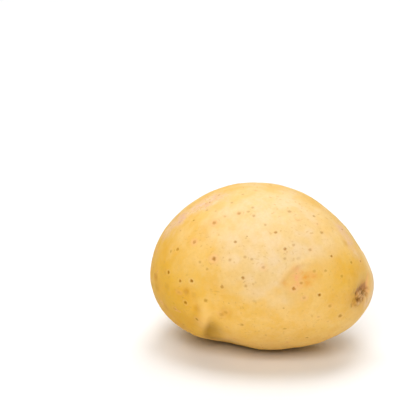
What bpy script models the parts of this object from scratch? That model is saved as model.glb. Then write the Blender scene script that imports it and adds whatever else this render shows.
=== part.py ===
"""A yellow table potato lying on its side, as one closed solid.

Metres, +Z up. The long axis is X: the blunt bud end is at -X, and the heel, where the
tuber hung on its stolon, is at +X. The origin is on the surface that the tuber lies on,
below the middle of its box.

A place on the skin is written (along, around). along runs from -1 at the bud end to +1
at the heel. around is the angle about the long axis in degrees: 0 at the front (-Y), 90
on top, 180 at the back and -90 underneath.
"""

import math
from typing import NamedTuple

import bmesh
import bpy
from mathutils import Vector

MM = 0.001

# Overall sizes of the tuber, before its flat is pressed in.
LENGTH = 96.0 * MM
DEPTH = 76.0 * MM
HEIGHT = 70.4 * MM

# How the body departs from a plain ellipsoid.
SIDE_TAPER = 0.14  # how much narrower it gets from its middle to the heel, from above
HEIGHT_TAPER = 0.03  # the same, from the side
HEEL_PINCH = 0.10  # extra narrowing, which grows towards the heel
ARCH = 5.0 * MM  # how far its middle stands above its two ends

# The small flat that it rests on.
FLAT_DEPTH = 0.8 * MM
FLAT_SNAP = 0.15 * MM  # a corner this near the flat joins it, so no sliver is left

# The eyes: a shallow hollow each, with the low brow of its leaf scar on the heel side.
EYE_DEPTH = 0.9 * MM
EYE_RADIUS = 4.5 * MM
BROW_HEIGHT = 0.5 * MM
BROW_RADIUS = 4.0 * MM
BROW_DISTANCE = 5.5 * MM
EYES = (
    (-0.93, -150),
    (-0.80, 130),
    (-0.62, -118),
    (-0.45, 168),
    (-0.05, -170),
    (0.05, 128),
    (0.42, -125),
    (0.62, 160),
)

# The rings of quads that cover the tuber: cells along each edge of the cube it grows from.
CELLS = 24

SKIN_COLOUR = (0.90, 0.54, 0.15, 1.0)
SKIN_ROUGHNESS = 0.55


class Swelling(NamedTuple):
    """A rounded rise of the skin, or a hollow where its height is negative."""

    along: float
    around: float
    height: float
    radius: float


FORM = (
    Swelling(0.30, -62, -0.9 * MM, 18.0 * MM),  # the flatter belly
    Swelling(0.95, 168, 1.4 * MM, 9.0 * MM),  # the far rim of the heel
    Swelling(0.98, 15, -1.2 * MM, 6.0 * MM),  # the heel's pit
    Swelling(0.57, 21, -0.6 * MM, 7.0 * MM),  # the wide shallow eye on the front
    Swelling(-0.25, -16, 1.4 * MM, 5.5 * MM),  # the knob low on the front
    Swelling(-0.33, -48, 1.1 * MM, 7.0 * MM),  # the knob's foot, which runs on underneath
    Swelling(-0.16, -58, -2.8 * MM, 10.0 * MM),  # the hollow under the knob
    Swelling(-0.16, -36, -0.8 * MM, 4.5 * MM),  # the crease between the two
)


def clear_scene():
    for obj in list(bpy.data.objects):
        bpy.data.objects.remove(obj)


def direction_of(along, around):
    """The unit direction that belongs to a place on the skin."""
    angle = math.radians(around)
    across = math.sqrt(1.0 - along * along)
    return Vector((along, -across * math.cos(angle), across * math.sin(angle)))


def body_point(direction):
    """The smooth body's point for a unit direction, with no swelling yet."""
    along = direction.x
    pinch = 1.0 - HEEL_PINCH * max(along, 0.0) ** 2
    side = DEPTH / 2 * direction.y * (1.0 - SIDE_TAPER * along) * pinch
    up = HEIGHT / 2 * direction.z * (1.0 - HEIGHT_TAPER * along) * pinch
    return Vector((LENGTH / 2 * along, side, up + ARCH * (1.0 - along * along)))


def outward(direction):
    """Which way the skin faces there: the normal of the plain ellipsoid."""
    scaled = (direction.x / LENGTH, direction.y / DEPTH, direction.z / HEIGHT)
    return Vector(scaled).normalized()


def eye_swellings(along, around):
    """An eye's hollow, and the brow that stands a little nearer the heel."""
    heelward = along + BROW_DISTANCE / (LENGTH / 2)
    return (
        Swelling(along, around, -EYE_DEPTH, EYE_RADIUS),
        Swelling(heelward, around, BROW_HEIGHT, BROW_RADIUS),
    )


def all_swellings():
    eyes = [swelling for eye in EYES for swelling in eye_swellings(*eye)]
    return list(FORM) + eyes


def tuber_point(direction, swellings):
    """The skin's point: the body's, moved by every swelling that reaches it."""
    on_body = body_point(direction)
    point = on_body.copy()
    for swelling in swellings:
        centre = direction_of(swelling.along, swelling.around)
        reach = (on_body - body_point(centre)).length / swelling.radius
        point += outward(centre) * swelling.height * math.exp(-reach * reach)
    return point


def make_ball(cells):
    """A closed ball of even quads: a gridded cube with its corners drawn in."""
    ball = bmesh.new()
    bmesh.ops.create_cube(ball, size=2.0)
    bmesh.ops.subdivide_edges(ball, edges=ball.edges[:], cuts=cells - 1, use_grid_fill=True)
    for vert in ball.verts:
        evened = [math.tan(math.pi / 4 * value) for value in vert.co]
        vert.co = Vector(evened).normalized()
    return ball


def press_flat(tuber):
    """Cuts the flat that the tuber rests on, closes it and sets it on z = 0."""
    level = min(vert.co.z for vert in tuber.verts) + FLAT_DEPTH
    bmesh.ops.bisect_plane(
        tuber,
        geom=tuber.verts[:] + tuber.edges[:] + tuber.faces[:],
        dist=FLAT_SNAP,
        plane_co=(0.0, 0.0, level),
        plane_no=(0.0, 0.0, -1.0),
        clear_outer=True,
    )
    rim = [edge for edge in tuber.edges if edge.is_boundary]
    for vert in {vert for edge in rim for vert in edge.verts}:
        vert.co.z = level
    bmesh.ops.edgeloop_fill(tuber, edges=rim)
    bmesh.ops.translate(tuber, verts=tuber.verts[:], vec=(0.0, 0.0, -level))


def centre_over_origin(tuber):
    """Moves the tuber so that the middle of its box, seen from above, is the origin."""
    xs = [vert.co.x for vert in tuber.verts]
    ys = [vert.co.y for vert in tuber.verts]
    middle = Vector((min(xs) + max(xs), min(ys) + max(ys), 0.0)) / 2
    bmesh.ops.translate(tuber, verts=tuber.verts[:], vec=-middle)


def skin_material():
    material = bpy.data.materials.new("potato_skin")
    material.use_nodes = True
    shader = material.node_tree.nodes["Principled BSDF"]
    shader.inputs["Base Color"].default_value = SKIN_COLOUR
    shader.inputs["Roughness"].default_value = SKIN_ROUGHNESS
    shader.inputs["Metallic"].default_value = 0.0
    return material


def make_potato():
    tuber = make_ball(CELLS)
    swellings = all_swellings()
    for vert in tuber.verts:
        vert.co = tuber_point(vert.co, swellings)
    press_flat(tuber)
    centre_over_origin(tuber)
    bmesh.ops.recalc_face_normals(tuber, faces=tuber.faces[:])
    mesh = bpy.data.meshes.new("potato")
    tuber.to_mesh(mesh)
    tuber.free()
    mesh.shade_smooth()
    mesh.materials.append(skin_material())
    potato = bpy.data.objects.new("potato", mesh)
    bpy.context.scene.collection.objects.link(potato)
    return potato


clear_scene()
make_potato()
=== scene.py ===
"""Potato: the finished look of a yellow table potato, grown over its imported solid.

The tuber lies along X, with its blunt bud end at -X and its heel at +X, and rests on
z = 0. A place on its skin is written (turn, rise): the degrees round from the front (-Y)
towards the heel, and the degrees up from level, both seen from the middle of the tuber.
"""

import math
import random
from typing import NamedTuple

import bmesh
import bpy
import numpy as np
from bpy.props import FloatProperty, FloatVectorProperty, IntProperty, PointerProperty
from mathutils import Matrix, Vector, noise
from mathutils.bvhtree import BVHTree
from mathutils.kdtree import KDTree


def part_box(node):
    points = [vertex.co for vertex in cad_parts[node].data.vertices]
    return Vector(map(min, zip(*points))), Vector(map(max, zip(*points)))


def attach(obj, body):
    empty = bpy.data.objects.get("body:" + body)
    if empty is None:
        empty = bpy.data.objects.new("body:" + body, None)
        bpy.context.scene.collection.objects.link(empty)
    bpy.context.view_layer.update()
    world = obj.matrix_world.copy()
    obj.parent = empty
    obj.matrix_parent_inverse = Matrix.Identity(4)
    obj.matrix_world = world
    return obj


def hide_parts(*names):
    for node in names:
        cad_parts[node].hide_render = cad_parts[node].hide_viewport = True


bl_info = {
    "name": "Potato",
    "version": (1, 0, 0),
    "blender": (4, 5, 0),
    "location": "3D View > Sidebar > Potato",
    "description": "Grows a yellow table potato over its packed solid and sets its stage",
    "category": "Object",
}

MM = 0.001
TINY = 0.001 * MM  # corners this near are one corner

# Smooth noise: each octave's lumps are this many times smaller than the last one's, and
# weaker by that number to the power of the fall.
NOISE_STEP = 2.0
NOISE_FALL = 0.7

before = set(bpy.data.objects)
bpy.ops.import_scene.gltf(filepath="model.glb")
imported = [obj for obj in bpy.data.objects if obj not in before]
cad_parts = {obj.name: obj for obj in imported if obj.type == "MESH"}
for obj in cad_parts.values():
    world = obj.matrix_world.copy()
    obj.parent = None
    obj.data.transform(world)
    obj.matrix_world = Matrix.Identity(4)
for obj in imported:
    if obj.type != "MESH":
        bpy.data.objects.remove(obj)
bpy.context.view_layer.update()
low_corner, high_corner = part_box("potato")
MIDDLE = (low_corner + high_corner) / 2


# ---- places on the skin


class Place(NamedTuple):
    """A point on the skin, the way the skin faces there, and two directions along it."""

    point: Vector
    outward: Vector
    across: Vector
    upward: Vector


class Lenticel(NamedTuple):
    """One pore: its place, radius, length for its width, darkness and pink halo."""

    place: Place
    radius: float
    stretch: float
    dark: float
    rose: float


# Pores that stand out: (turn, rise), radius in millimetres, darkness, pink halo.
BOLD_LENTICELS = (
    ((57, 0), 0.62, 1.00, 0.0),
    ((42, 5), 0.75, 0.72, 0.6),
    ((47, 8), 0.60, 0.45, 0.2),
    ((56, 14), 0.65, 0.30, 0.0),
    ((34, 42), 0.65, 0.68, 0.1),
    ((39, 30), 0.68, 0.75, 0.0),
    ((10, 12), 0.65, 0.75, 0.0),
    ((1, 34), 0.60, 0.64, 0.0),
    ((-23, 5), 0.70, 1.00, 0.0),
    ((-31, 3), 0.65, 0.90, 0.0),
    ((-41, 5), 0.70, 0.90, 0.0),
    ((-27, -9), 0.75, 0.85, 0.0),
    ((-11, 21), 0.85, 0.75, 1.0),
    ((-24, 43), 0.90, 0.48, 1.0),
    ((-6, 55), 0.80, 0.52, 0.5),
    ((12, 55), 0.70, 0.43, 0.1),
    ((57, 57), 0.80, 0.45, 0.2),
    ((73, 35), 0.75, 0.52, 0.0),
    ((57, 27), 0.65, 0.47, 0.2),
    ((70, 20), 0.50, 0.85, 0.0),
    ((23, 19), 0.70, 0.40, 0.5),
    ((-30, 27), 0.80, 0.50, 1.0),
    ((-40, 19), 0.75, 0.60, 0.0),
    ((70, -14), 0.85, 0.62, 0.2),
    ((-13, -5), 0.80, 0.50, 0.0),
    ((-21, -19), 0.75, 0.65, 0.1),
    ((-4, -14), 0.90, 0.30, 0.2),
    ((-1, -12), 0.80, 0.28, 0.2),
    ((-3, 5), 0.65, 0.55, 0.1),
    ((80, 47), 0.65, 0.50, 0.0),
    ((12, 7), 0.65, 0.45, 0.0),
    ((82, 13), 0.60, 0.50, 0.0),
    ((9, -21), 0.70, 0.45, 0.1),
    ((63, -7), 0.70, 0.42, 0.2),
)

# Smaller, paler pores on the front, which all look alike: (turn, rise).
FAINT_LENTICELS = (
    (-64, 60),
    (-45, 16),
    (-44, 48),
    (-31, 73),
    (-27, 62),
    (-20, 17),
    (-14, 14),
    (0, 22),
    (4, 58),
    (8, 62),
    (10, 25),
    (15, 24),
    (25, 48),
    (38, -23),
    (38, 24),
    (46, 32),
    (63, 13),
    (72, 8),
)
FAINT_RADIUS = 0.62  # in millimetres, as above
FAINT_DARKNESS = 0.36
PLACED_STRETCH = 1.1  # how long the bold and the faint ones are for their width

# The pores that are scattered over the rest of the skin.
SCATTER_JITTER = 0.09  # how far each strays, as a share of the way from middle to skin
PORE_CLEARANCE = 4.0 * MM  # from a bold or a faint one
LOWEST_PORE = 1.0 * MM  # above the surface that the tuber lies on
PALEST_PORE = 0.16

# The shape of every pore, in radii from its middle.
PORE_PIT = 0.9
PORE_RIM = 1.5
PORE_RIM_WIDTH = 0.5
PORE_REACH = 5.0  # where its tint has ended

# The eyes that lie away from the front: (turn, rise).
EYES = (
    (-107, -14),
    (-113, 17),
    (-117, -39),
    (-149, 7),
    (-176, -10),
    (174, 49),
    (132, -44),
    (130, 10),
)
BUD_RADIUS = 0.9 * MM
MOAT_RADIUS = 1.6 * MM
MOAT_WIDTH = 0.8 * MM
BROW_WIDTH = 0.55 * MM
BROW_CREASE_WIDTH = 0.5 * MM
BROW_CREASE_INSET = 0.9 * MM  # from the leaf scar towards the bud
EYE_TINT_RADIUS = 2.6 * MM

# The knob low on the front: its crest from the top down, and the fold on its heel side.
KNOB_CREST = ((-14, -7), (-13, -14), (-15, -19), (-21, -26), (-29, -32))
KNOB_FOLD = ((-9, -10), (-10, -16), (-13, -22), (-19, -31), (-26, -39), (-32, -48))
KNOB_DENT = (-19, -10)
CREST_WIDTH = 2.7 * MM
DENT_RADIUS = 1.6 * MM
FOLD_WIDTHS = (4.2 * MM, 1.2 * MM)  # on its heel side, and against the knob
FOLD_SHADE_WIDTHS = (4.8 * MM, 2.4 * MM)

# The heel: its corky scar, the hollow above that, the proud lip on the far side, and the
# crease between them.
SCAR = (84, -6)
HEEL_HOLLOW = (87, -2)
HEEL_LIP = ((102, 12), (98, 5), (96, -1), (94, -6), (89, -11))
HEEL_CREASE = ((93, 4), (91, 1), (90, -2), (90, -5))
SCAR_SLOPE = 18.0  # the degrees that its long side rises towards the lip
SCAR_STRETCH = 1.8  # how long it is for its width
SCAR_RAGGEDNESS = 0.22  # how far its edge wanders, as a share of its radius
HOLLOW_RADIUS = 3.4 * MM
# Radius of the painted shade in the hollow over the scar.
HOLLOW_SHADE_RADIUS = 2.9 * MM
LIP_WIDTH = 1.5 * MM
# Width of the painted highlight on the heel's lip.
LIP_HIGHLIGHT_WIDTH = 2.2 * MM
HEEL_CREASE_WIDTH = 0.7 * MM

# Details of the scar: millimetres (along, over) from its middle, radius and strength.
SCAR_PITS = (
    ((2.5, -0.1), 0.95, 1.0),
    ((-2.0, -0.5), 0.95, 0.9),
    ((-0.7, -0.8), 0.65, 0.7),
    ((-3.2, 0.9), 0.60, 0.5),
    ((-2.1, 3.0), 0.80, 0.8),
    ((3.9, 0.2), 0.55, 0.8),
    ((5.2, 0.2), 0.60, 1.0),
    ((3.0, 1.4), 0.45, 0.6),
    ((0.9, -1.9), 0.50, 0.6),
    ((3.3, -1.6), 0.55, 0.5),
)
SCAR_CRUMBS = (
    ((-0.8, 1.9), 0.80, 0.8),
    ((-0.4, 0.2), 0.60, 1.0),
    ((1.8, -0.9), 0.85, 0.7),
    ((1.2, 1.5), 0.55, 0.5),
    ((-3.4, -0.9), 0.80, 0.6),
    ((4.6, 1.4), 0.55, 0.5),
    ((2.0, 1.0), 0.50, 0.8),
    ((-2.6, 1.8), 0.55, 0.5),
    ((-2.4, -1.9), 0.90, 1.0),
    ((0.3, -1.3), 0.50, 0.6),
)
SCAR_RUST = (((-4.3, 0.8), 3.0, 1.0),)
SCAR_RIBS = (((3.0, -2.2), 2.5, 1.0),)  # this one is (across, up)
FIRST_RIB = 2.8 * MM

# The wide shallow eye on the front, and the low brow above it.
FRONT_EYE = (48, 11)
FRONT_BROW = ((35, 9), (40, 15), (47, 19), (56, 20), (62, 17))
FRONT_BROW_WIDTH = 1.4 * MM
# Width of the painted shade along the brow.
FRONT_BROW_SHADE_WIDTH = 1.0 * MM

# Blotches of that eye: millimetres (across, up) from its middle, radius and strength.
PINK_BLOTCHES = (
    ((-2.2, 3.2), 1.9, 0.7),
    ((-2.4, 0.2), 2.0, 1.0),
    ((-2.0, -2.6), 1.8, 0.8),
    ((3.9, 0.9), 1.3, 0.5),
)
ORANGE_BLOTCHES = (
    ((1.5, 0.3), 1.6, 1.0),
    ((0.3, 1.9), 1.2, 0.6),
    ((2.1, -2.0), 2.0, 0.7),
    ((4.8, 0.2), 1.4, 0.6),
    ((-7.6, -1.6), 1.6, 0.5),
)

# Zones of tone: (turn, rise), radius in millimetres and strength.
# Paler skin on the top and front, partly a painted sheen.
CREAM_AND_SHEEN_ZONES = (
    ((38, 50), 28.0, 1.0),
    ((18, 27), 15.0, 0.9),
    ((25, 14), 9.0, 0.4),
    ((-18, 57), 12.0, 0.25),
)
GOLD_ZONES = (
    ((-46, -14), 26.0, 1.0),
    ((-62, 0), 14.0, 0.6),
    ((-68, -18), 14.0, 1.0),
    ((76, 8), 12.0, 0.55),
    ((56, 8), 9.0, 0.4),
    ((40, 11), 4.0, 0.5),
    ((-15, -20), 16.0, 0.6),
)
# Painted shade: the low bud end laid darker.
LOW_PAINTED_SHADE_ZONES = (
    ((-43, -21), 14.0, 1.0),
    ((-46, -34), 12.0, 0.8),
    ((-70, -27), 16.0, 1.0),
)
SMUDGES = (
    ((-54, -2), 1.9, 1.0),
    ((-53, -7), 2.0, 0.6),
    ((-41, -3), 1.5, 0.4),
    ((-26, -2), 1.6, 0.8),
    ((-21, -3), 1.6, 0.4),
    ((-19, -11), 1.8, 0.6),
    ((-47, -17), 1.8, 0.5),
    ((-2, -13), 3.0, 0.4),
    ((87, 23), 1.6, 0.5),
)
GRAZES = (
    ((-54, 63), 4.0, 0.6),
    ((-60, 54), 6.0, 1.0),
    ((-61, 46), 5.0, 0.9),
    ((-61, 39), 3.5, 0.7),
    ((-63, 31), 6.0, 0.9),
    ((-67, 22), 4.5, 0.8),
    ((95, 30), 3.5, 0.7),
    ((93, 23), 3.5, 0.8),
    ((91, 16), 3.0, 0.6),
)


def heading(turn, rise):
    """The unit direction for a turn and a rise in degrees."""
    around, up = math.radians(turn), math.radians(rise)
    level = math.cos(up)
    return Vector((math.sin(around) * level, -math.cos(around) * level, math.sin(up)))


def merged_solid():
    """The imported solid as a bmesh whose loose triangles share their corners."""
    solid = bmesh.new()
    solid.from_mesh(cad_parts["potato"].data)
    bmesh.ops.remove_doubles(solid, verts=solid.verts[:], dist=TINY)
    return solid


def place_on(tree, direction):
    """Where a ray from the middle of the tuber leaves the skin."""
    point, outward, _, _ = tree.ray_cast(MIDDLE, direction)
    across = Vector((0.0, 0.0, 1.0)).cross(outward).normalized()
    return Place(point, outward, across, outward.cross(across))


def place_at(tree, where):
    """The place on the skin at a (turn, rise)."""
    return place_on(tree, heading(*where))


def places_at(tree, wheres):
    """The places on the skin at several of them."""
    return [place_at(tree, where) for where in wheres]


# ---- the mesh of the skin


def skin_ball(cells):
    """A closed ball of even quads: a gridded cube with its corners drawn in."""
    ball = bmesh.new()
    bmesh.ops.create_cube(ball, size=2.0)
    bmesh.ops.subdivide_edges(ball, edges=ball.edges[:], cuts=cells - 1, use_grid_fill=True)
    for vert in ball.verts:
        evened = [math.tan(math.pi / 4 * value) for value in vert.co]
        vert.co = Vector(evened).normalized()
    return ball


def wrap_over(ball, tree, rounds):
    """Lays the ball's corners on the solid and eases its facets away."""
    for vert in ball.verts:
        vert.co = tree.ray_cast(MIDDLE, vert.co)[0]
    for _ in range(rounds):
        bmesh.ops.smooth_vert(
            ball, verts=ball.verts, factor=0.5, use_axis_x=True, use_axis_y=True, use_axis_z=True
        )


def refine_near(skin, places, reaches):
    """Halves the edges that lie within reach of a place, for finer detail there."""
    tree = KDTree(len(places))
    for index, place in enumerate(places):
        tree.insert(place.point, index)
    tree.balance()
    near = []
    for edge in skin.edges:
        middle = (edge.verts[0].co + edge.verts[1].co) / 2
        _, index, distance = tree.find(middle)
        if distance < reaches[index]:
            near.append(edge)
    bmesh.ops.subdivide_edges(skin, edges=near, cuts=1, use_grid_fill=True)


class Surface:
    """The corners of the skin mesh as arrays, and the heights and masks worked out there."""

    def __init__(self, mesh):
        count = len(mesh.vertices)
        self.mesh = mesh
        self.points = np.empty(count * 3)
        self.normals = np.empty(count * 3)
        mesh.vertices.foreach_get("co", self.points)
        mesh.vertex_normals.foreach_get("vector", self.normals)
        self.points = self.points.reshape(-1, 3)
        self.normals = self.normals.reshape(-1, 3)
        self.height = np.zeros(count)

    def gap_to(self, place):
        """Straight distance of every corner from a place."""
        return np.linalg.norm(self.points - np.array(place.point), axis=1)

    def local(self, place):
        """How far across and up every corner is from a place. Together they are stretched
        to the straight distance, so that they stay large on the far side too."""
        away = self.points - np.array(place.point)
        across = away @ np.array(place.across)
        upward = away @ np.array(place.upward)
        stretch = self.gap_to(place) / np.maximum(np.hypot(across, upward), TINY)
        return across * stretch, upward * stretch

    def beside(self, places):
        """Distance of every corner from a line of places, how far along it that is, and
        whether the corner lies to the left of the line, walked with the skin underfoot."""
        best = np.full(len(self.points), np.inf)
        share = np.zeros(len(self.points))
        left = np.zeros(len(self.points), bool)
        steps = len(places) - 1
        for index in range(steps):
            start, end = (np.array(place.point) for place in places[index : index + 2])
            reach = end - start
            part = np.clip((self.points - start) @ reach / (reach @ reach), 0.0, 1.0)
            gap = np.linalg.norm(self.points - start - part[:, None] * reach, axis=1)
            leftward = np.cross(np.array(places[index].outward), reach)
            nearer = gap < best
            best[nearer] = gap[nearer]
            share[nearer] = ((index + part) / steps)[nearer]
            left[nearer] = ((self.points - start) @ leftward > 0.0)[nearer]
        return best, share, left

    def wander(self, size, octaves, seed):
        """Smooth noise from -1 to 1 with lumps of the given size."""
        shift = Vector((seed, -seed, seed * 0.5))
        values = [
            noise.fractal(Vector(point) / size + shift, NOISE_FALL, NOISE_STEP, octaves)
            for point in self.points
        ]
        return np.array(values)

    def wander_near(self, place, reach, size, octaves, fall=NOISE_FALL, step=NOISE_STEP):
        """The same within reach of a place, and 0 past it."""
        values = np.zeros(len(self.points))
        for index in np.flatnonzero(self.gap_to(place) < reach):
            values[index] = noise.fractal(Vector(self.points[index]) / size, fall, step, octaves)
        return values

    def keep(self, name, values):
        """Stores a mask that the material reads."""
        attribute = self.mesh.attributes.new(name, "FLOAT", "POINT")
        attribute.data.foreach_set("value", values.astype(np.float32))

    def keep_vectors(self, name, vectors):
        attribute = self.mesh.attributes.new(name, "FLOAT_VECTOR", "POINT")
        attribute.data.foreach_set("vector", vectors.astype(np.float32).ravel())

    def settle(self):
        """Moves the corners out by their heights, but never below the surface it lies on."""
        self.points += self.normals * self.height[:, None]
        self.points[:, 2] = np.maximum(self.points[:, 2], 0.0)
        self.mesh.vertices.foreach_set("co", self.points.ravel())
        self.mesh.update()


def smooth_step(values, start, end):
    """0 before start, 1 past end, and an even ease between them. start may be the larger."""
    share = np.clip((values - start) / (end - start), 0.0, 1.0)
    return share * share * (3.0 - 2.0 * share)


def bell(distances, radius):
    """1 in the middle, falling smoothly to nearly 0 at twice the radius."""
    return np.exp(-((distances / radius) ** 2))


def blots(first, second, spots):
    """One mask over small round spots, from each corner's two distances along the skin."""
    mask = np.zeros(len(first))
    for (one, other), radius, weight in spots:
        gap = np.hypot(first - one * MM, second - other * MM)
        mask = np.maximum(mask, weight * bell(gap, radius * MM))
    return mask


# ---- details of the skin


def scatter_lenticels(tree, sizes):
    """The placed pores, then others spread evenly over the rest. Those are fainter on the
    front half, which has the placed ones."""
    faint = [(where, FAINT_RADIUS, FAINT_DARKNESS, 0.0) for where in FAINT_LENTICELS]
    pores = [
        Lenticel(place_at(tree, where), radius * MM, PLACED_STRETCH, dark, rose)
        for where, radius, dark, rose in (*BOLD_LENTICELS, *faint)
    ]
    placed = len(pores)
    scar = place_at(tree, SCAR)
    chance = random.Random(sizes.seed)
    golden = math.pi * (3.0 - math.sqrt(5.0))
    for index in range(sizes.lenticel_count):
        level = 1.0 - 2.0 * (index + 0.5) / sizes.lenticel_count
        reach = math.sqrt(1.0 - level * level)
        angle = golden * index + chance.uniform(-0.5, 0.5)
        direction = Vector((level, reach * math.cos(angle), reach * math.sin(angle)))
        jitter = Vector([chance.gauss(0.0, SCATTER_JITTER) for _ in range(3)])
        place = place_on(tree, (direction + jitter).normalized())
        radius = sizes.lenticel_radius * chance.lognormvariate(-0.25, 0.30)
        stretch = chance.uniform(1.0, 1.7)
        behind = place.point.y > 0.0
        most, rarity = (0.75, 1.7) if behind else (0.5, 2.5)
        dark = PALEST_PORE + most * chance.random() ** rarity
        rose = chance.random() ** 4
        clear = min((place.point - pore.place.point).length for pore in pores[:placed])
        off_scar = (place.point - scar.point).length > 2.6 * sizes.scar_radius
        if clear > PORE_CLEARANCE and off_scar and place.point.z > LOWEST_PORE:
            pores.append(Lenticel(place, radius, stretch, dark, rose))
    return pores


def press_lenticels(surface, pores, sizes):
    """Sinks each pore below a low corky rim, and keeps its outline for the material."""
    tree = KDTree(len(pores))
    for index, pore in enumerate(pores):
        tree.insert(pore.place.point, index)
    tree.balance()
    nearest = np.array([tree.find(point)[1] for point in surface.points])
    centres, across, upward = (
        np.array([getattr(pore.place, name) for pore in pores])[nearest]
        for name in ("point", "across", "upward")
    )
    radii, stretch, dark, rose = (
        np.array([getattr(pore, name) for pore in pores])[nearest]
        for name in ("radius", "stretch", "dark", "rose")
    )
    away = surface.points - centres
    offset = np.zeros_like(away)
    offset[:, 0] = (away * across).sum(axis=1) / (radii * stretch)
    offset[:, 1] = (away * upward).sum(axis=1) / radii
    straight = np.linalg.norm(away, axis=1) / radii
    near = np.clip(PORE_REACH - straight, 0.0, 1.0)
    reach = np.linalg.norm(offset, axis=1)
    strength = near * dark
    surface.height -= sizes.lenticel_depth * strength * bell(reach, PORE_PIT)
    surface.height += sizes.lenticel_rim * strength * bell(reach - PORE_RIM, PORE_RIM_WIDTH)
    surface.keep_vectors("pore_offset", offset)
    surface.keep("pore_near", near)
    surface.keep("pore_dark", dark)
    surface.keep("pore_rose", rose)


def raise_eye(surface, place, sizes):
    """A small bud in the eye's hollow, with the thin crescent of its leaf scar heelward."""
    distance = surface.gap_to(place)
    across, _ = surface.local(place)
    heelward = across * math.copysign(1.0, place.across.x)
    facing = smooth_step(heelward / np.maximum(distance, TINY), 0.1, 0.7)
    from_brow = distance - sizes.brow_radius
    brow = bell(from_brow, BROW_WIDTH) * facing
    crease = bell(from_brow + BROW_CREASE_INSET, BROW_CREASE_WIDTH) * facing
    bud = bell(distance, BUD_RADIUS)
    moat = bell(distance - MOAT_RADIUS, MOAT_WIDTH)
    surface.height += sizes.brow_height * brow + sizes.bud_height * bud
    surface.height -= sizes.moat_depth * moat + sizes.brow_crease * crease
    return np.maximum(bell(distance, EYE_TINT_RADIUS), 0.8 * crease)


def raise_eyes(surface, tree, sizes):
    """All the eyes away from the front, and the mask of their tint."""
    tint = np.zeros(len(surface.height))
    for place in places_at(tree, EYES):
        tint = np.maximum(tint, raise_eye(surface, place, sizes))
    surface.keep("eye", tint)


def fold_knob(surface, tree, sizes):
    """Lifts the knob's crest, and creases the skin steeply beside it on the heel side."""
    gap, share, _ = surface.beside(places_at(tree, KNOB_CREST))
    crest = bell(gap, CREST_WIDTH) * smooth_step(share, -0.2, 0.25) * smooth_step(share, 1.1, 0.5)
    dent = bell(surface.gap_to(place_at(tree, KNOB_DENT)), DENT_RADIUS)
    surface.height += sizes.knob_height * crest - sizes.dent_depth * dent
    # The crest's mask also lays a painted highlight on it.
    surface.keep("crest", crest)

    gap, share, heelward = surface.beside(places_at(tree, KNOB_FOLD))
    depth = smooth_step(share, -0.05, 0.5) * smooth_step(share, 1.05, 0.6)
    surface.height -= sizes.fold_depth * depth * bell(gap, np.where(heelward, *FOLD_WIDTHS))
    # The fold's mask lays painted shade over the creased skin beside the knob.
    shade = smooth_step(share, 0.15, 0.6) * smooth_step(share, 1.15, 0.9)
    surface.keep("fold", shade * bell(gap, np.where(heelward, *FOLD_SHADE_WIDTHS)))


def dish_front_eye(surface, tree, sizes):
    """The wide old eye on the front: a faint dish of scaly skin below a low brow."""
    gap, share, _ = surface.beside(places_at(tree, FRONT_BROW))
    brow = bell(gap, FRONT_BROW_WIDTH) * smooth_step(share, 1.0, 0.6)
    surface.height += sizes.front_brow_height * brow
    # The brow's mask lays painted shade along it.
    surface.keep("brow", bell(gap, FRONT_BROW_SHADE_WIDTH) * smooth_step(share, 0.75, 0.45))

    eye = place_at(tree, FRONT_EYE)
    across, upward = surface.local(eye)
    pink = blots(across, upward, PINK_BLOTCHES)
    orange = blots(across, upward, ORANGE_BLOTCHES)
    scales = surface.wander_near(eye, 12.0 * MM, sizes.scale_size, 3)
    dish = np.maximum(pink, orange)
    surface.height += dish * (sizes.scale_height * scales - sizes.dish_depth)
    surface.keep("blush", pink)
    surface.keep("blush_deep", orange)


def shape_heel(surface, tree, sizes):
    """The hollow over the scar, the proud lip on its far side, and the crease between."""
    hollow = surface.gap_to(place_at(tree, HEEL_HOLLOW))
    surface.height -= sizes.hollow_depth * bell(hollow, HOLLOW_RADIUS)
    gap, share, _ = surface.beside(places_at(tree, HEEL_LIP))
    surface.height += sizes.lip_height * bell(gap, LIP_WIDTH) * smooth_step(share, 1.1, 0.7)
    # The lip's mask lays a painted highlight on it.
    surface.keep("lip", bell(gap, LIP_HIGHLIGHT_WIDTH))
    gap, share, _ = surface.beside(places_at(tree, HEEL_CREASE))
    crease = bell(gap, HEEL_CREASE_WIDTH) * smooth_step(share, -0.3, 0.3)
    surface.height -= sizes.heel_crease * crease
    surface.keep("crease", crease)


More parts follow.
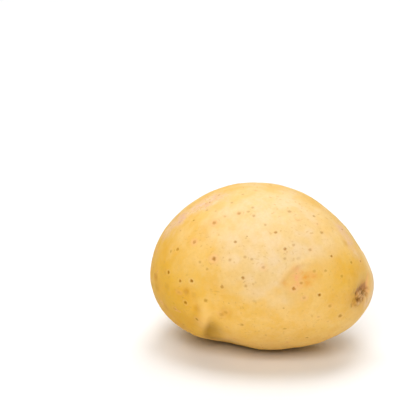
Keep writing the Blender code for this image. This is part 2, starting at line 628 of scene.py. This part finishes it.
def carve_scar(surface, tree, sizes):
    """The corky scar where the stolon came away: a rough oval with pits and crumbs."""
    scar = place_at(tree, SCAR)
    across, upward = surface.local(scar)
    slope = math.radians(SCAR_SLOPE)
    along = across * math.cos(slope) + upward * math.sin(slope)
    over = upward * math.cos(slope) - across * math.sin(slope)
    reach = 4.0 * sizes.scar_radius
    grain = surface.wander_near(scar, reach, 0.9 * MM, 3, fall=0.6, step=2.1)
    ragged = surface.wander_near(scar, reach, 2.0 * MM, 2)
    edge = np.hypot((along + 0.5 * MM) / SCAR_STRETCH, over) * (1.0 + SCAR_RAGGEDNESS * ragged)
    cork = smooth_step(edge, sizes.scar_radius * 1.15, sizes.scar_radius * 0.75)
    pits = blots(along, over, SCAR_PITS)
    crumbs = blots(along, over, SCAR_CRUMBS)
    # The groove follows the scar's upper edge, and stops short of the lip. Its mask lays painted
    # shade along it.
    groove = bell(edge - sizes.scar_radius, 1.2 * MM) * smooth_step(along, 7.0 * MM, 5.0 * MM)
    groove *= smooth_step(over + 0.4 * along, 1.5 * MM, 3.0 * MM)
    surface.height -= sizes.scar_depth * cork + sizes.pit_depth * pits + sizes.groove_depth * groove
    surface.height += sizes.scar_grain * grain * cork + sizes.crumb_height * crumbs
    surface.keep("cork", cork)
    # Darker cork and painted shade at the bottoms of the pits.
    surface.keep("cork_pit", np.minimum(1.3 * pits, 1.0))
    # Paler cork and a painted highlight on the crumbs and the grain's tops.
    surface.keep("cork_bump", np.maximum(crumbs, 0.6 * cork * smooth_step(grain, 0.15, 0.6)))
    surface.keep("groove", groove)
    surface.keep("rust", blots(along, over, SCAR_RUST))
    browned = bell(np.hypot(along / 1.4, over - 1.0 * MM), 4.5 * MM)
    # Painted shade in the hollow over the scar, joined to the browned skin round it.
    hollow = bell(surface.gap_to(place_at(tree, HEEL_HOLLOW)), HOLLOW_SHADE_RADIUS)
    surface.keep("halo", np.maximum(0.55 * browned, hollow))


def rib_scar(surface, tree, sizes):
    """The low upright ribs on the far side of the scar."""
    across, upward = surface.local(place_at(tree, SCAR))
    ribs = 0.5 + 0.5 * np.cos((across - FIRST_RIB) * (2.0 * math.pi / sizes.rib_spacing))
    ribbed = blots(across, upward, SCAR_RIBS)
    surface.height += sizes.rib_height * ribs * ribbed
    surface.keep("ribs", ribs * ribbed)
    surface.keep("rib_gaps", (1.0 - ribs) * ribbed)


def zone(surface, tree, spots, drift):
    """One mask over several round patches with drifting edges."""
    mask = np.zeros(len(surface.height))
    for where, radius, weight in spots:
        spread = surface.gap_to(place_at(tree, where)) * (1.0 + 0.35 * drift)
        patch = weight * smooth_step(spread, 1.45 * radius * MM, 0.25 * radius * MM)
        mask = 1.0 - (1.0 - mask) * (1.0 - patch)
    return mask


def paint_zones(surface, tree):
    """Masks for the paler top and its painted sheen, gold sides, painted low shade, smudges and
    grazes.
    """
    drift = surface.wander(9.0 * MM, 3, 3.0)
    surface.keep("cream", zone(surface, tree, CREAM_AND_SHEEN_ZONES, drift))
    surface.keep("gold", zone(surface, tree, GOLD_ZONES, drift))
    surface.keep("dusk", zone(surface, tree, LOW_PAINTED_SHADE_ZONES, drift))
    surface.keep("smudge", zone(surface, tree, SMUDGES, surface.wander(2.0 * MM, 2, 9.0)))
    surface.keep("graze", zone(surface, tree, GRAZES, surface.wander(3.5 * MM, 3, 5.0)))


def grow_skin(sizes):
    """The whole skin as one finished mesh."""
    solid = merged_solid()
    tree = BVHTree.FromBMesh(solid)
    solid.free()
    ball = skin_ball(sizes.cells)
    wrap_over(ball, tree, sizes.smoothing)
    pores = scatter_lenticels(tree, sizes)
    scar, eye = places_at(tree, (SCAR, FRONT_EYE))
    refine_near(ball, [pore.place for pore in pores], [2.2 * pore.radius for pore in pores])
    refine_near(ball, [scar, eye], [sizes.scar_radius * 2.7, 6.5 * MM])
    refine_near(ball, [scar], [sizes.scar_radius * 2.3])
    mesh = bpy.data.meshes.new("potato_skin")
    ball.to_mesh(mesh)
    ball.free()
    surface = Surface(mesh)
    surface.height += sizes.lumpiness * surface.wander(sizes.lump_size, 2, 11.0)
    surface.height += sizes.ripple * surface.wander(sizes.ripple_size, 3, 23.0)
    press_lenticels(surface, pores, sizes)
    raise_eyes(surface, tree, sizes)
    fold_knob(surface, tree, sizes)
    dish_front_eye(surface, tree, sizes)
    shape_heel(surface, tree, sizes)
    carve_scar(surface, tree, sizes)
    rib_scar(surface, tree, sizes)
    paint_zones(surface, tree)
    surface.settle()
    mesh.shade_smooth()
    return mesh


# ---- the skin's material


class Wiring:
    """Short calls for adding nodes to one node tree and joining them."""

    def __init__(self, tree):
        self.tree = tree

    def node(self, kind, **settings):
        made = self.tree.nodes.new(kind)
        for name, value in settings.items():
            setattr(made, name, value)
        return made

    def feed(self, socket, value):
        """Joins an output to an input socket, or sets the input to a plain value."""
        if isinstance(value, bpy.types.NodeSocket):
            self.tree.links.new(value, socket)
        else:
            socket.default_value = value

    def attribute(self, name, output="Fac"):
        return self.node("ShaderNodeAttribute", attribute_name=name).outputs[output]

    def noise(self, vector, scale, detail, roughness=0.5):
        """Noise from 0 to 1, with about scale lumps in a metre."""
        made = self.node("ShaderNodeTexNoise")
        self.feed(made.inputs["Vector"], vector)
        self.feed(made.inputs["Scale"], scale)
        self.feed(made.inputs["Detail"], detail)
        self.feed(made.inputs["Roughness"], roughness)
        return made.outputs["Fac"]

    def cells(self, vector, scale):
        """The distance from the middle of a cell, with about scale cells in a metre."""
        made = self.node("ShaderNodeTexVoronoi")
        self.feed(made.inputs["Vector"], vector)
        self.feed(made.inputs["Scale"], scale)
        return made.outputs["Distance"]

    def ease(self, value, start, end, low=0.0, high=1.0):
        """low before start, high past end, eased between them."""
        made = self.node("ShaderNodeMapRange", interpolation_type="SMOOTHSTEP")
        self.feed(made.inputs["Value"], value)
        self.feed(made.inputs["From Min"], start)
        self.feed(made.inputs["From Max"], end)
        self.feed(made.inputs["To Min"], low)
        self.feed(made.inputs["To Max"], high)
        return made.outputs["Result"]

    def math(self, operation, first, second=0.0, third=0.0):
        made = self.node("ShaderNodeMath", operation=operation)
        for socket, value in zip(made.inputs, (first, second, third), strict=True):
            self.feed(socket, value)
        return made.outputs["Value"]

    def times(self, first, second):
        return self.math("MULTIPLY", first, second)

    def mix(self, share, first, second, blend="MIX"):
        """A colour between two, or one blended onto the other."""
        made = self.node("ShaderNodeMix", data_type="RGBA", blend_type=blend)
        self.feed(made.inputs["Factor"], share)
        self.feed(made.inputs["A"], first)
        self.feed(made.inputs["B"], second)
        return made.outputs["Result"]

    def stain(self, colour, mask, tint, share=1.0, blend="MIX"):
        """The colour with a tint laid on it where one of the mesh's masks says."""
        strength = self.attribute(mask)
        if share < 1.0:
            strength = self.times(strength, share)
        return self.mix(strength, colour, tint, blend)

    def group(self, tree, **values):
        made = self.node("ShaderNodeGroup", node_tree=tree)
        for name, value in values.items():
            self.feed(made.inputs[name], value)
        return made.outputs


def new_group(name, inputs, outputs):
    """An empty shader group with named sockets, and its inner input and output nodes."""
    tree = bpy.data.node_groups.new(name, "ShaderNodeTree")
    for label, kind in inputs:
        tree.interface.new_socket(name=label, in_out="INPUT", socket_type=kind)
    for label, kind in outputs:
        tree.interface.new_socket(name=label, in_out="OUTPUT", socket_type=kind)
    wiring = Wiring(tree)
    given = wiring.node("NodeGroupInput").outputs
    wanted = wiring.node("NodeGroupOutput").inputs
    return tree, wiring, given, wanted


def skin_mottle_group():
    """Masks for slow clouds, patches, flecks, grain, freckles and short scratches."""
    tree, wiring, given, wanted = new_group(
        "skin_mottle",
        [("Vector", "NodeSocketVector")],
        [
            (name, "NodeSocketFloat")
            for name in ("Cloud", "Patch", "Fleck", "Grain", "Freckle", "Scratch")
        ],
    )
    vector = given["Vector"]
    for name, scale, detail, roughness, start, end in (
        ("Cloud", 42.0, 2.0, 0.5, 0.36, 0.64),
        ("Patch", 130.0, 2.0, 0.5, 0.36, 0.66),
        ("Fleck", 330.0, 3.0, 0.6, 0.40, 0.66),
        ("Grain", 950.0, 3.0, 0.65, 0.36, 0.66),
        ("Freckle", 620.0, 1.0, 0.5, 0.65, 0.75),
    ):
        mask = wiring.ease(wiring.noise(vector, scale, detail, roughness), start, end)
        wiring.feed(wanted[name], mask)
    stretch = wiring.node("ShaderNodeMapping")
    wiring.feed(stretch.inputs["Vector"], vector)
    wiring.feed(stretch.inputs["Rotation"], (0.3, 0.5, 0.2))
    wiring.feed(stretch.inputs["Scale"], (0.16, 1.0, 1.0))
    streak = wiring.ease(wiring.noise(stretch.outputs["Vector"], 1300.0, 1.0), 0.68, 0.76)
    wiring.feed(wanted["Scratch"], streak)
    return tree


def pore_group():
    """The dark core, the corky rim and the tinted halo of a pore, from its own outline."""
    tree, wiring, given, wanted = new_group(
        "skin_pore",
        [
            ("Vector", "NodeSocketVector"),
            ("Offset", "NodeSocketVector"),
            ("Near", "NodeSocketFloat"),
        ],
        [(name, "NodeSocketFloat") for name in ("Core", "Rim", "Halo")],
    )
    reach = wiring.node("ShaderNodeVectorMath", operation="LENGTH")
    wiring.feed(reach.inputs[0], given["Offset"])
    ragged = wiring.noise(given["Vector"], 1600.0, 1.0)
    uneven = wiring.math("MULTIPLY_ADD", ragged, 0.9, -0.45)
    length = wiring.math("ADD", reach.outputs["Value"], uneven)
    core = wiring.ease(length, 1.35, 0.35)
    halo = wiring.ease(length, 3.4, 1.0)
    outer = wiring.ease(length, 2.3, 1.5)
    inner = wiring.ease(length, 0.9, 1.5)
    rim = wiring.times(outer, inner)
    for name, mask in (("Core", core), ("Rim", rim), ("Halo", halo)):
        wiring.feed(wanted[name], wiring.times(mask, given["Near"]))
    return tree


def cork_group():
    """The tone and relief of dry cork, for the heel's scar."""
    tree, wiring, given, wanted = new_group(
        "dry_cork",
        [("Vector", "NodeSocketVector")],
        [("Tone", "NodeSocketFloat"), ("Relief", "NodeSocketFloat")],
    )
    crumbs = wiring.cells(given["Vector"], 900.0)
    grain = wiring.noise(given["Vector"], 1100.0, 4.0, 0.65)
    wiring.feed(wanted["Tone"], wiring.ease(grain, 0.38, 0.64))
    wiring.feed(wanted["Relief"], wiring.math("ADD", crumbs, grain))
    return tree


def ground_tones(wiring, colours, mottle):
    """The sound skin: slow clouds, zones with painted sheen and shade, smudges, flecks and fine
    grain.
    """
    gold = wiring.attribute("gold")
    colour = wiring.mix(mottle["Cloud"], colours.base, colours.deep)
    # Paler skin on the top, partly a painted sheen.
    colour = wiring.stain(colour, "cream", colours.cream)
    colour = wiring.mix(gold, colour, colours.gold)
    # Painted shade: the low bud end darker.
    colour = wiring.stain(colour, "dusk", colours.dusk, blend="MULTIPLY")
    colour = wiring.stain(colour, "smudge", colours.smudge, blend="MULTIPLY")
    colour = wiring.mix(wiring.times(mottle["Patch"], 0.6), colour, colours.amber, "MULTIPLY")
    fleck = wiring.times(mottle["Fleck"], wiring.ease(gold, 0.0, 1.0, 0.22, 0.04))
    colour = wiring.mix(fleck, colour, colours.pale)
    return wiring.mix(wiring.times(mottle["Grain"], 0.12), colour, colours.russet)


def worn_tones(wiring, colours, colour, vector, mottle):
    """Adds the front eye's blotches, painted shade along its brow, the grazes with their squiggles,
    and the freckles.
    """
    net = skin_net(wiring, vector)
    blush = wiring.times(wiring.attribute("blush"), net)
    colour = wiring.mix(blush, colour, colours.blush)
    deep_blush = wiring.times(wiring.attribute("blush_deep"), net)
    colour = wiring.mix(deep_blush, colour, colours.orange)
    # Painted shade along the front eye's brow.
    colour = wiring.stain(colour, "brow", colours.freckle, 0.2)
    graze = wiring.attribute("graze")
    rubbed = wiring.mix(mottle["Patch"], colours.graze, colours.scuff)
    colour = wiring.mix(wiring.times(wiring.times(graze, net), 0.9), colour, rubbed)
    level = wiring.math("SUBTRACT", wiring.noise(vector, 420.0, 1.0), 0.5)
    line = wiring.ease(wiring.math("ABSOLUTE", level), 0.04, 0.01)
    squiggle = wiring.times(wiring.times(line, graze), mottle["Fleck"])
    colour = wiring.mix(wiring.times(squiggle, 0.5), colour, colours.freckle)
    mark = wiring.math("MAXIMUM", mottle["Freckle"], mottle["Scratch"])
    crowding = wiring.ease(mottle["Cloud"], 0.0, 1.0, 0.08, 0.38)
    return wiring.mix(wiring.times(mark, crowding), colour, colours.freckle)


def relief_tones(wiring, colours, colour):
    """Adds the tint in the eyes, painted shade in the knob's fold and a painted highlight on its
    crest.
    """
    colour = wiring.stain(colour, "eye", colours.bud, 0.45)
    # Painted shade in the knob's fold.
    colour = wiring.stain(colour, "fold", colours.crease, 0.76)
    # Painted highlight on the knob's crest.
    return wiring.stain(colour, "crest", colours.crest, 0.45)


def pore_tones(wiring, colours, colour, pore, dark):
    """Adds the pores: a pink halo on some, a pale rim and a dark core."""
    pink = wiring.times(wiring.times(pore["Halo"], wiring.attribute("pore_rose")), 0.45)
    colour = wiring.mix(pink, colour, colours.blush)
    rim = wiring.times(wiring.times(pore["Rim"], dark), 0.2)
    colour = wiring.mix(rim, colour, colours.rim)
    return wiring.mix(wiring.times(pore["Core"], dark), colour, colours.spot)


def heel_tones(wiring, colours, colour, cork):
    """Adds browned skin and painted shade round the scar, a painted lip highlight, and the scar's
    own cork.
    """
    # Browned skin round the scar, with painted shade in the hollow over it.
    colour = wiring.stain(colour, "halo", colours.halo, 0.8)
    colour = wiring.stain(colour, "rust", colours.rust, 0.55)
    # Painted highlight on the heel's lip.
    colour = wiring.stain(colour, "lip", colours.lip, 0.7)
    colour = wiring.stain(colour, "crease", colours.blush, 0.7)
    bark = wiring.mix(cork["Tone"], colours.cork_dark, colours.cork_pale)
    # Paler cork and a painted highlight on the crumbs' tops.
    bark = wiring.stain(bark, "cork_bump", colours.cork_bump)
    bark = wiring.stain(bark, "rust", colours.rust, 0.8)
    # Darker cork and painted shade in the pits.
    bark = wiring.stain(bark, "cork_pit", colours.cork_pit)
    colour = wiring.mix(wiring.times(wiring.attribute("cork"), 0.92), colour, bark)
    # Painted shade along the groove over the scar.
    colour = wiring.stain(colour, "groove", colours.groove, 0.75)
    colour = wiring.stain(colour, "rib_gaps", colours.halo, 0.45)
    return wiring.stain(colour, "ribs", colours.rib, 0.5)


def skin_net(wiring, vector):
    """A fine uneven net that breaks up the blotches and grazes."""
    return wiring.ease(wiring.noise(vector, 700.0, 3.0, 0.6), 0.38, 0.60, 0.5, 1.0)


def skin_roughness(wiring, vector, mottle, pore, dark):
    """Dull all over, and driest on the cork, in the pores and where the skin is rubbed."""
    rubbed = wiring.times(wiring.attribute("graze"), skin_net(wiring, vector))
    dry = wiring.math("MAXIMUM", wiring.attribute("cork"), wiring.times(rubbed, 0.5))
    core = wiring.times(pore["Core"], dark)
    dry = wiring.math("MAXIMUM", dry, wiring.times(core, 0.7))
    roughness = wiring.node("ShaderNodeMix", data_type="FLOAT")
    wiring.feed(roughness.inputs["Factor"], dry)
    wiring.feed(roughness.inputs["A"], wiring.ease(mottle["Fleck"], 0.0, 1.0, 0.50, 0.60))
    wiring.feed(roughness.inputs["B"], 0.85)
    return roughness.outputs["Result"]


def skin_bump(wiring, vector, cork):
    """The fine relief of the skin, and the coarser one of the scar."""
    fine = wiring.noise(vector, 700.0, 5.0, 0.65)
    coarse = wiring.times(cork["Relief"], wiring.attribute("cork"))
    bump = wiring.node("ShaderNodeBump")
    wiring.feed(bump.inputs["Strength"], 0.35)
    wiring.feed(bump.inputs["Distance"], 0.12 * MM)
    wiring.feed(bump.inputs["Height"], wiring.math("MULTIPLY_ADD", coarse, 3.0, fine))
    return bump.outputs["Normal"]


def skin_material(colours):
    """Thin yellow skin over pale flesh, with its pores, tints, grazes and corky scar."""
    material = bpy.data.materials.new("potato_skin")
    material.use_nodes = True
    wiring = Wiring(material.node_tree)
    shader = material.node_tree.nodes["Principled BSDF"]
    vector = wiring.node("ShaderNodeTexCoord").outputs["Object"]
    mottle = wiring.group(skin_mottle_group(), Vector=vector)
    cork = wiring.group(cork_group(), Vector=vector)
    offset = wiring.attribute("pore_offset", "Vector")
    near = wiring.attribute("pore_near")
    pore = wiring.group(pore_group(), Vector=vector, Offset=offset, Near=near)
    dark = wiring.attribute("pore_dark")

    colour = ground_tones(wiring, colours, mottle)
    colour = worn_tones(wiring, colours, colour, vector, mottle)
    colour = relief_tones(wiring, colours, colour)
    colour = pore_tones(wiring, colours, colour, pore, dark)
    colour = heel_tones(wiring, colours, colour, cork)
    wiring.feed(shader.inputs["Base Color"], colour)
    roughness = skin_roughness(wiring, vector, mottle, pore, dark)
    wiring.feed(shader.inputs["Roughness"], roughness)
    wiring.feed(shader.inputs["Normal"], skin_bump(wiring, vector, cork))
    shader.inputs["Specular IOR Level"].default_value = 0.15
    shader.inputs["Subsurface Weight"].default_value = 0.12
    shader.inputs["Subsurface Radius"].default_value = (1.0, 0.55, 0.2)
    shader.inputs["Subsurface Scale"].default_value = 2.5 * MM
    return material


# ---- the stage


# The softboxes round the tuber: name, turn and rise. Each has its power in the settings.
SOFTBOXES = (("front", 15, 42), ("overhead", 180, 84), ("back", 180, 46), ("side", -105, 58))


def add_floor(stage):
    floor = bmesh.new()
    bmesh.ops.create_circle(floor, cap_ends=True, segments=96, radius=stage.floor_radius)
    mesh = bpy.data.meshes.new("floor")
    floor.to_mesh(mesh)
    floor.free()
    material = bpy.data.materials.new("pale_floor")
    material.use_nodes = True
    shader = material.node_tree.nodes["Principled BSDF"]
    shader.inputs["Base Color"].default_value = stage.floor_colour
    shader.inputs["Roughness"].default_value = 0.9
    mesh.materials.append(material)
    obj = bpy.data.objects.new("floor", mesh)
    bpy.context.scene.collection.objects.link(obj)


def look_at(obj, target):
    """Turns a lamp or the camera to face a point."""
    obj.rotation_mode = "QUATERNION"
    obj.rotation_quaternion = (target - obj.location).to_track_quat("-Z", "Y")


def add_softbox(stage, name, turn, rise):
    """A square lamp that looks at the middle of the tuber."""
    lamp = bpy.data.lights.new(f"{name}_softbox", "AREA")
    lamp.shape = "SQUARE"
    lamp.size = stage.lamp_size
    lamp.energy = getattr(stage, f"{name}_power")
    obj = bpy.data.objects.new(f"{name}_softbox", lamp)
    obj.location = MIDDLE + heading(turn, rise) * stage.lamp_distance
    look_at(obj, MIDDLE)
    bpy.context.scene.collection.objects.link(obj)


def add_sky(strength):
    world = bpy.data.worlds.new("soft_sky")
    world.use_nodes = True
    background = world.node_tree.nodes["Background"]
    background.inputs["Color"].default_value = (1.0, 1.0, 1.0, 1.0)
    background.inputs["Strength"].default_value = strength
    bpy.context.scene.world = world


def add_camera(stage):
    """A long lens that looks down on the front, with the tuber right of and below centre."""
    back = heading(math.degrees(stage.camera_turn), math.degrees(stage.camera_rise))
    right = Vector((0.0, 0.0, 1.0)).cross(back).normalized()
    up = back.cross(right)
    aim = MIDDLE - right * stage.tuber_right + up * stage.tuber_below
    camera = bpy.data.cameras.new("camera")
    camera.sensor_width = 36.0
    camera.lens = camera.sensor_width * stage.camera_distance / stage.view_width
    camera.clip_start = 0.01
    obj = bpy.data.objects.new("camera", camera)
    obj.location = MIDDLE + back * stage.camera_distance
    look_at(obj, aim)
    bpy.context.scene.collection.objects.link(obj)
    bpy.context.scene.camera = obj


# ---- settings


def length(name, description, default):
    return FloatProperty(
        name=name, description=description, default=default, unit="LENGTH", min=0.0, precision=5
    )


def angle(name, description, degrees):
    return FloatProperty(
        name=name, description=description, default=math.radians(degrees), subtype="ANGLE"
    )


def strength(name, description, default):
    return FloatProperty(name=name, description=description, default=default, min=0.0)


def tint(name, description, colour):
    default = (*colour, 1.0)
    return FloatVectorProperty(
        name=name, description=description, default=default, subtype="COLOR", size=4, min=0, max=1
    )


class PotatoSizes(bpy.types.PropertyGroup):
    cells: IntProperty(name="Cells", description="Quads along each side of the ball", default=110)
    smoothing: IntProperty(name="Smoothing", description="Rounds that ease the facets", default=36)
    seed: IntProperty(name="Seed", description="Where the scattered pores fall", default=7)
    lenticel_count: IntProperty(name="Pores", description="How many are scattered", default=230)
    lumpiness: length("Lumpiness", "Height of the skin's slow waves", 0.22 * MM)
    lump_size: length("Lump size", "Length of the skin's slow waves", 13.0 * MM)
    ripple: length("Ripple", "Height of the skin's small ripples", 0.07 * MM)
    ripple_size: length("Ripple size", "Length of the skin's small ripples", 4.0 * MM)
    lenticel_radius: length("Pore radius", "Radius of a common pore", 0.55 * MM)
    lenticel_depth: length("Pore depth", "How far a dark pore sinks", 0.22 * MM)
    lenticel_rim: length("Pore rim", "How far its corky rim stands up", 0.07 * MM)
    brow_radius: length("Brow radius", "From an eye's bud to its leaf scar", 3.4 * MM)
    brow_height: length("Brow height", "How far the leaf scar stands up", 0.35 * MM)
    brow_crease: length("Brow crease", "Depth of the crease inside the leaf scar", 0.20 * MM)
    bud_height: length("Bud height", "How far an eye's bud stands up", 0.35 * MM)
    moat_depth: length("Moat depth", "Depth of the ring round an eye's bud", 0.25 * MM)
    front_brow_height: length("Front brow", "How far the brow on the front stands up", 0.32 * MM)
    dish_depth: length("Dish depth", "How far the front eye is dished", 0.25 * MM)
    scale_height: length("Scale height", "Height of the front eye's scales", 0.16 * MM)
    scale_size: length("Scale size", "Width of the front eye's scales", 1.1 * MM)
    knob_height: length("Knob height", "How far the knob's crest is lifted", 1.0 * MM)
    dent_depth: length("Dent depth", "Depth of the dent over the knob", 0.30 * MM)
    fold_depth: length("Fold depth", "How deep the fold beside the knob is", 1.4 * MM)
    hollow_depth: length("Hollow depth", "Depth of the hollow over the heel's scar", 1.3 * MM)
    lip_height: length("Lip height", "How far the heel's lip stands up", 0.35 * MM)
    heel_crease: length("Heel crease", "Depth of the crease beside the lip", 0.45 * MM)
    scar_radius: length("Scar radius", "Half the width of the heel's scar", 3.2 * MM)
    scar_depth: length("Scar depth", "How far the cork lies below the skin", 0.35 * MM)
    scar_grain: length("Scar grain", "Height of the cork's fine grain", 0.18 * MM)
    pit_depth: length("Pit depth", "Depth of the scar's pits", 0.75 * MM)
    crumb_height: length("Crumb height", "Height of the scar's crumbs", 0.35 * MM)
    groove_depth: length("Groove depth", "Depth of the groove over the scar", 0.35 * MM)
    rib_height: length("Rib height", "Height of the ribs beside the scar", 0.20 * MM)
    rib_spacing: length("Rib spacing", "From one rib to the next", 2.6 * MM)


class PotatoColours(bpy.types.PropertyGroup):
    base: tint("Skin", "The common yellow of the skin", (0.90, 0.58, 0.195))
    deep: tint("Deep skin", "Slow deeper clouds", (0.88, 0.54, 0.13))
    # Paler skin on the top, partly a painted sheen.
    cream: tint("Cream skin", "The paler top", (0.86, 0.63, 0.35))
    gold: tint("Gold skin", "The yellower sides", (0.87, 0.475, 0.035))
    amber: tint("Amber", "What small warmer patches multiply the skin by", (0.96, 0.86, 0.5))
    # Painted shade that darkens the low bud end.
    dusk: tint("Dusk", "What the low bud end multiplies the skin by", (0.85, 0.84, 0.50))
    smudge: tint("Smudge", "What the small smudges multiply the skin by", (0.79, 0.63, 0.23))
    pale: tint("Pale skin", "Small paler flecks", (0.92, 0.65, 0.28))
    russet: tint("Russet skin", "Fine brown grain", (0.62, 0.36, 0.10))
    blush: tint("Blush", "Pink skin at the front eye", (0.90, 0.45, 0.19))
    orange: tint("Orange", "The warmest skin in the front eye", (0.82, 0.35, 0.055))
    graze: tint("Graze", "Rubbed skin near the bud end and the heel", (0.80, 0.48, 0.36))
    scuff: tint("Scuff", "The paler parts of the rubbed skin", (0.90, 0.64, 0.38))
    bud: tint("Bud", "The tint inside an eye", (0.62, 0.33, 0.12))
    # Painted shade laid in the knob's fold.
    crease: tint("Crease", "Soil and shade in the knob's fold", (0.38, 0.19, 0.0))
    # Painted highlight on the knob's crest.
    crest: tint("Crest", "The knob's brighter crest", (0.98, 0.65, 0.23))
    rim: tint("Pore rim", "The pale cork round a pore", (0.90, 0.62, 0.30))
    spot: tint("Pore", "The dark middle of a pore", (0.39, 0.145, 0.0))
    freckle: tint("Freckle", "Freckles and short scratches", (0.60, 0.29, 0.06))
    # Browned skin round the scar; its mask also paints shade in the hollow.
    halo: tint("Heel halo", "Browned skin round the scar", (0.58, 0.25, 0.055))
    # Painted shade in the groove over the scar.
    groove: tint("Groove", "The shaded groove over the scar", (0.43, 0.19, 0.07))
    rust: tint("Rust", "The yellower side of the scar", (0.68, 0.33, 0.03))
    cork_dark: tint("Dark cork", "The darker cork of the scar", (0.44, 0.19, 0.04))
    cork_pale: tint("Pale cork", "The paler cork of the scar", (0.64, 0.34, 0.12))
    # Paler cork with a painted highlight on the crumbs' tops.
    cork_bump: tint("Cork bump", "The tops of the scar's crumbs", (0.92, 0.61, 0.31))
    # Darker cork with painted shade at the pits' bottoms.
    cork_pit: tint("Cork pit", "The bottom of the scar's pits", (0.22, 0.08, 0.008))
    # Painted highlight on the heel's lip.
    lip: tint("Lip", "The fresher skin on the heel's lip", (0.95, 0.68, 0.40))
    rib: tint("Rib", "The pale ribs beside the scar", (0.90, 0.64, 0.30))


class PotatoStage(bpy.types.PropertyGroup):
    camera_turn: angle("Camera turn", "How far round from the front towards the heel", 22.0)
    camera_rise: angle("Camera rise", "How far above level", 20.0)
    camera_distance: length("Camera distance", "From the camera to the tuber", 0.8)
    view_width: length("View width", "What the picture's width takes in at the tuber", 168.7 * MM)
    tuber_right: length("Tuber right", "How far the tuber is right of centre", 26.4 * MM)
    tuber_below: length("Tuber below", "How far the tuber is below centre", 27.5 * MM)
    floor_radius: length("Floor radius", "Radius of the round floor", 4.0)
    floor_colour: tint("Floor", "Colour of the floor", (0.93, 0.93, 0.93))
    lamp_distance: length("Lamp distance", "From each softbox to the tuber", 2.0)
    lamp_size: length("Lamp size", "The side of each square softbox", 1.1)
    sky: strength("Sky", "Strength of the light from all round", 0.14)
    front_power: strength("Front power", "Watts of the softbox in front", 24.0)
    overhead_power: strength("Overhead power", "Watts of the softbox overhead", 19.5)
    back_power: strength("Back power", "Watts of the softbox behind", 10.0)
    side_power: strength("Side power", "Watts of the softbox at the bud end", 7.0)


# ---- operators and panel


class OBJECT_OT_grow_potato_skin(bpy.types.Operator):
    """Grow the potato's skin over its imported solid"""

    bl_idname = "object.grow_potato_skin"
    bl_label = "Grow the Skin"

    def execute(self, context):
        mesh = grow_skin(context.scene.potato_sizes)
        mesh.materials.append(skin_material(context.scene.potato_colours))
        skin = bpy.data.objects.new("potato_skin", mesh)
        context.scene.collection.objects.link(skin)
        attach(skin, "root")
        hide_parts("potato")
        return {"FINISHED"}


class OBJECT_OT_set_potato_stage(bpy.types.Operator):
    """Set the floor, the lamps and the camera round the potato"""

    bl_idname = "object.set_potato_stage"
    bl_label = "Set the Stage"

    def execute(self, context):
        stage = context.scene.potato_stage
        context.scene.view_settings.view_transform = "Standard"
        add_floor(stage)
        add_sky(stage.sky)
        for name, turn, rise in SOFTBOXES:
            add_softbox(stage, name, turn, rise)
        add_camera(stage)
        return {"FINISHED"}


class VIEW3D_PT_potato(bpy.types.Panel):
    """Lists the potato's operators and settings in the sidebar"""

    bl_idname = "VIEW3D_PT_potato"
    bl_label = "Potato"
    bl_space_type = "VIEW_3D"
    bl_region_type = "UI"
    bl_category = "Potato"

    def draw(self, context):
        for settings in (
            context.scene.potato_sizes,
            context.scene.potato_colours,
            context.scene.potato_stage,
        ):
            box = self.layout.box()
            for name in settings.__annotations__:
                box.prop(settings, name)
        self.layout.operator(OBJECT_OT_grow_potato_skin.bl_idname)
        self.layout.operator(OBJECT_OT_set_potato_stage.bl_idname)


CLASSES = (
    PotatoSizes,
    PotatoColours,
    PotatoStage,
    OBJECT_OT_grow_potato_skin,
    OBJECT_OT_set_potato_stage,
    VIEW3D_PT_potato,
)


def register():
    for cls in CLASSES:
        bpy.utils.register_class(cls)
    bpy.types.Scene.potato_sizes = PointerProperty(type=PotatoSizes)
    bpy.types.Scene.potato_colours = PointerProperty(type=PotatoColours)
    bpy.types.Scene.potato_stage = PointerProperty(type=PotatoStage)


def unregister():
    del bpy.types.Scene.potato_stage
    del bpy.types.Scene.potato_colours
    del bpy.types.Scene.potato_sizes
    for cls in reversed(CLASSES):
        bpy.utils.unregister_class(cls)


def main():
    register()
    bpy.ops.object.grow_potato_skin()
    bpy.ops.object.set_potato_stage()


if __name__ == "__main__":
    main()
